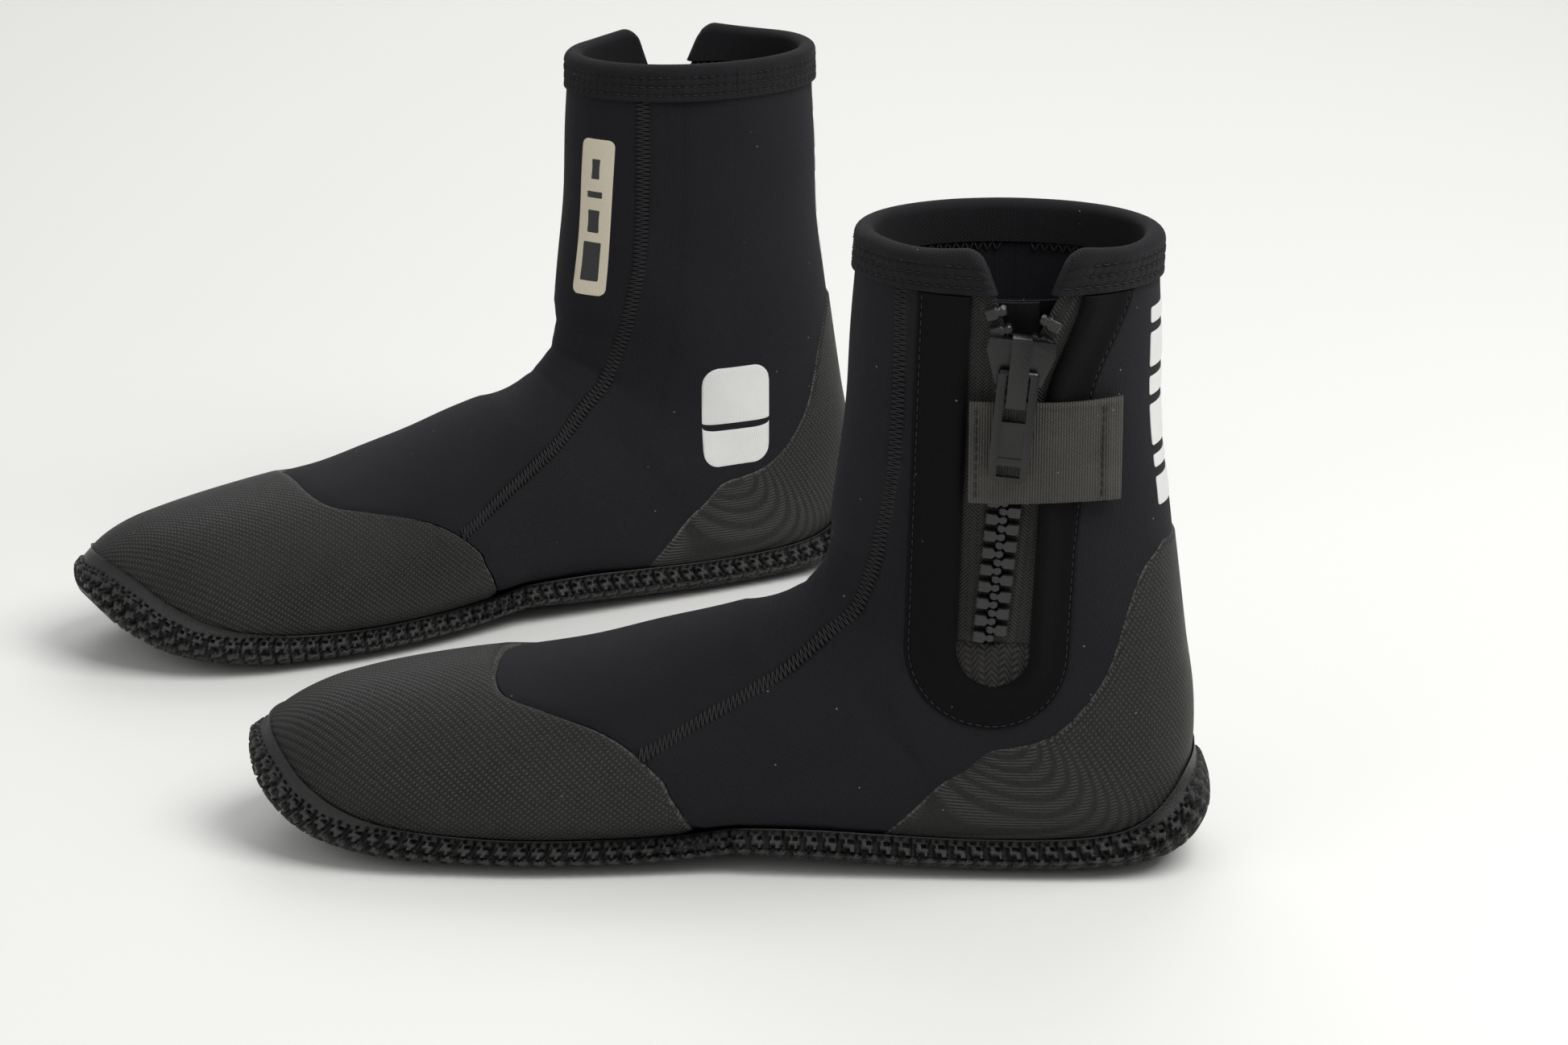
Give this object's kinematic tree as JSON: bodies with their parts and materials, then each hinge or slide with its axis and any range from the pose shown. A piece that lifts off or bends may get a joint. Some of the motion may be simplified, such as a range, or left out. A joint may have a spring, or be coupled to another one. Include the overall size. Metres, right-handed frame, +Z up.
{
  "type": "pair of neoprene boots",
  "caption": "Pair of ankle-high neoprene water sports boots with rubber toe caps, heel counters and soles, and a side zip with a keeper strap.",
  "frame": {"origin": "centre of the pair's bounding box, on the floor under the soles", "axes": "+Z up; the toes point to -X, the right boot almost straight and the left one turned 26 degrees towards -Y; +Y is to the far side, where the left boot stands"},
  "size_m": [0.396, 0.3739, 0.2045],
  "materials": {
    "sole_rubber": "satin rubber with a moulded tread",
    "midsole_foam": "matt foam",
    "insole_cloth": "brushed cloth",
    "cap_rubber": "satin rubber with a fine cell emboss",
    "neoprene": "neoprene faced with knitted jersey",
    "binding_knit": "stretch knit binding",
    "welt_neoprene": "neoprene tape, stitched",
    "tape_twill": "woven herringbone tape",
    "tooth_plastic": "moulded resin",
    "base_webbing": "coarse webbing",
    "gusset_neoprene": "thin neoprene",
    "slider_metal": "black painted, half gloss",
    "puller_metal": "black painted, half gloss",
    "strap_webbing": "ribbed webbing, hook-and-loop back"
  },
  "bodies": {
    "right_foot": {"right_outsole": "sole_rubber", "right_midsole": "midsole_foam", "right_insole": "insole_cloth", "right_toe_cap": "cap_rubber", "right_heel_counter": "cap_rubber", "right_vamp": "neoprene", "right_inner_quarter": "neoprene", "right_outer_quarter": "neoprene", "right_zip_welt_lower": "welt_neoprene", "right_zip_tape_lower": "tape_twill", "right_zip_teeth_lower": "tooth_plastic", "right_zip_base_webbing": "base_webbing", "right_gusset_lower": "gusset_neoprene"},
    "right_shaft_front": {"right_shin_panel": "neoprene", "right_inner_shin_strip": "neoprene", "right_outer_shin_strip": "neoprene", "right_collar_binding_front": "binding_knit", "right_zip_welt_front": "welt_neoprene", "right_zip_tape_front": "tape_twill", "right_zip_teeth_front": "tooth_plastic", "right_gusset_front": "gusset_neoprene"},
    "right_shaft_rear": {"right_calf_panel": "neoprene", "right_collar_binding_rear": "binding_knit", "right_zip_welt_rear": "welt_neoprene", "right_zip_tape_rear": "tape_twill", "right_zip_teeth_rear": "tooth_plastic", "right_gusset_rear": "gusset_neoprene"},
    "right_slider": {"right_zip_slider": "slider_metal"},
    "right_puller": {"right_zip_puller": "puller_metal"},
    "right_strap": {"right_keeper_strap": "strap_webbing"},
    "left_foot": {"left_outsole": "sole_rubber", "left_midsole": "midsole_foam", "left_insole": "insole_cloth", "left_toe_cap": "cap_rubber", "left_heel_counter": "cap_rubber", "left_vamp": "neoprene", "left_inner_quarter": "neoprene", "left_outer_quarter": "neoprene", "left_zip_welt_lower": "welt_neoprene", "left_zip_tape_lower": "tape_twill", "left_zip_teeth_lower": "tooth_plastic", "left_zip_base_webbing": "base_webbing", "left_gusset_lower": "gusset_neoprene"},
    "left_shaft_front": {"left_shin_panel": "neoprene", "left_inner_shin_strip": "neoprene", "left_outer_shin_strip": "neoprene", "left_collar_binding_front": "binding_knit", "left_zip_welt_front": "welt_neoprene", "left_zip_tape_front": "tape_twill", "left_zip_teeth_front": "tooth_plastic", "left_gusset_front": "gusset_neoprene"},
    "left_shaft_rear": {"left_calf_panel": "neoprene", "left_collar_binding_rear": "binding_knit", "left_zip_welt_rear": "welt_neoprene", "left_zip_tape_rear": "tape_twill", "left_zip_teeth_rear": "tooth_plastic", "left_gusset_rear": "gusset_neoprene"},
    "left_slider": {"left_zip_slider": "slider_metal"},
    "left_puller": {"left_zip_puller": "puller_metal"},
    "left_strap": {"left_keeper_strap": "strap_webbing"}
  },
  "joints": [
    {"name": "left_boot_lift", "type": "slide", "parent": "right_foot", "child": "left_foot", "axis": [0, 0, 1], "range_m": [0, 0.25]},
    {"name": "right_zip", "type": "slide", "parent": "right_foot", "child": "right_slider", "axis": [-0.0875, 0.0304, -0.9957], "range_m": [0, 0.084], "deforming": ["right_keeper_strap"]},
    {"name": "right_shaft_front_open", "type": "hinge", "parent": "right_foot", "child": "right_shaft_front", "pos_m": [0.13336, -0.10283, 0.15], "axis": [0, 0, -1], "range_deg": [0, 7.2]},
    {"name": "right_shaft_rear_open", "type": "hinge", "parent": "right_foot", "child": "right_shaft_rear", "pos_m": [0.13336, -0.10283, 0.15], "axis": [0, 0, 1], "range_deg": [0, 7.2]},
    {"name": "right_strap_open", "type": "hinge", "parent": "right_shaft_front", "child": "right_strap", "pos_m": [0.11529, -0.17904, 0.142], "axis": [0, 0, -1], "range_deg": [0, 150]},
    {"name": "right_puller_swing", "type": "hinge", "parent": "right_slider", "child": "right_puller", "pos_m": [0.1303, -0.18415, 0.16788], "axis": [-0.9929, 0.0778, 0.0897], "range_deg": [0, 170]},
    {"name": "left_zip", "type": "slide", "parent": "left_foot", "child": "left_slider", "axis": [-0.0703, -0.0604, -0.9957], "range_m": [0, 0.084], "deforming": ["left_keeper_strap"]},
    {"name": "left_shaft_front_open", "type": "hinge", "parent": "left_foot", "child": "left_shaft_front", "pos_m": [0.04328, 0.1025, 0.15], "axis": [0, 0, 1], "range_deg": [0, 7.2]},
    {"name": "left_shaft_rear_open", "type": "hinge", "parent": "left_foot", "child": "left_shaft_rear", "pos_m": [0.04328, 0.1025, 0.15], "axis": [0, 0, -1], "range_deg": [0, 7.2]},
    {"name": "left_strap_open", "type": "hinge", "parent": "left_shaft_front", "child": "left_strap", "pos_m": [-0.00146, 0.16678, 0.142], "axis": [0, 0, 1], "range_deg": [0, 150]},
    {"name": "left_puller_swing", "type": "hinge", "parent": "left_slider", "child": "left_puller", "pos_m": [0.01063, 0.17704, 0.16788], "axis": [0.8953, 0.4363, -0.0897], "range_deg": [0, 170]}
  ],
  "couplings": [
    {"joint": "right_shaft_front_open", "follows": "right_zip", "rad_per_m": 1.45},
    {"joint": "right_shaft_rear_open", "follows": "right_zip", "rad_per_m": 1.45},
    {"joint": "right_strap_open", "follows": "right_zip", "rad_per_m": 31},
    {"joint": "left_shaft_front_open", "follows": "left_zip", "rad_per_m": 1.45},
    {"joint": "left_shaft_rear_open", "follows": "left_zip", "rad_per_m": 1.45},
    {"joint": "left_strap_open", "follows": "left_zip", "rad_per_m": 31}
  ]
}
